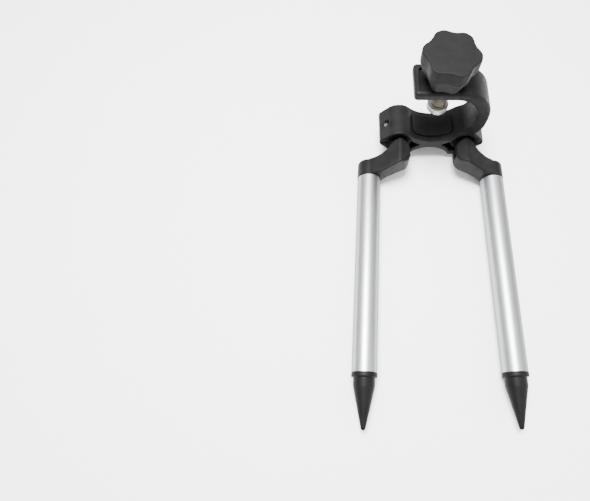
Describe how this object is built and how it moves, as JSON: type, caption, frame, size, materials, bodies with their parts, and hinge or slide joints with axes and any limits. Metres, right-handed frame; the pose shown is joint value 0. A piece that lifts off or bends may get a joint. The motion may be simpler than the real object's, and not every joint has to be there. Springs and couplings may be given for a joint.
{
  "type": "prism pole bipod",
  "caption": "Clamp-on bipod for a survey pole: cast C-clamp head with star knob, rubber seat and round legs with pointed feet that swivel and splay.",
  "frame": {"origin": "middle of the rubber seat's top, where the pole lies", "axes": "+X across the legs, +Y along the pole away from the feet, +Z out of the seat towards the knob"},
  "size_m": [0.1387, 0.2797, 0.1088],
  "materials": {
    "black_casting": "matte black coat",
    "seat_rubber": "matte",
    "bush_brass": "turned",
    "bright_steel": "zinc plated",
    "nylon": "natural",
    "tube_aluminium": "satin anodised",
    "foot_steel": "black coat",
    "screw_steel": "nickel plated",
    "knob_plastic": "moulded, fine grain"
  },
  "bodies": {
    "head": {"head_casting": "black_casting", "seat_liner": "seat_rubber", "jaw_bush": "bush_brass", "left_lug_screw": "bright_steel", "right_lug_screw": "bright_steel", "left_sleeve": "nylon", "right_sleeve": "nylon"},
    "left_swivel": {"left_trunnion": "black_casting", "left_keeper_washer": "bright_steel", "left_keeper_screw": "bright_steel"},
    "left_leg": {"left_hinge_pin": "bright_steel", "left_friction_washers": "nylon", "left_arm": "black_casting", "left_tube": "tube_aluminium", "left_foot": "foot_steel"},
    "right_swivel": {"right_trunnion": "black_casting", "right_keeper_washer": "bright_steel", "right_keeper_screw": "bright_steel"},
    "right_leg": {"right_hinge_pin": "bright_steel", "right_friction_washers": "nylon", "right_arm": "black_casting", "right_tube": "tube_aluminium", "right_foot": "foot_steel"},
    "pad": {"pressure_pad": "screw_steel", "pad_ring": "bright_steel"},
    "knob": {"clamp_screw": "screw_steel", "knob_insert": "bush_brass", "knob": "knob_plastic"}
  },
  "joints": [
    {"name": "left_swivel_turn", "type": "hinge", "parent": "head", "child": "left_swivel", "pos_m": [-0.029, 0, -0.004], "axis": [0, 1, 0], "range_deg": [-80, 80]},
    {"name": "left_leg_splay", "type": "hinge", "parent": "left_swivel", "child": "left_leg", "pos_m": [-0.029, -0.0248, -0.004], "axis": [0, 0, -1], "range_deg": [-2.7, 27.3]},
    {"name": "right_swivel_turn", "type": "hinge", "parent": "head", "child": "right_swivel", "pos_m": [0.029, 0, -0.004], "axis": [0, 1, 0], "range_deg": [-80, 80]},
    {"name": "right_leg_splay", "type": "hinge", "parent": "right_swivel", "child": "right_leg", "pos_m": [0.029, -0.0248, -0.004], "axis": [0, 0, 1], "range_deg": [0, 30]},
    {"name": "pad_slide", "type": "slide", "parent": "head", "child": "pad", "axis": [0, 0, 1], "range_m": [0, 0.014]},
    {"name": "knob_turn", "type": "hinge", "parent": "pad", "child": "knob", "pos_m": [0, 0, 0.0573], "axis": [0, 0, -1], "range_deg": [0, 2881]}
  ],
  "couplings": [
    {"joint": "knob_turn", "follows": "pad_slide", "rad_per_m": 3590.4}
  ]
}
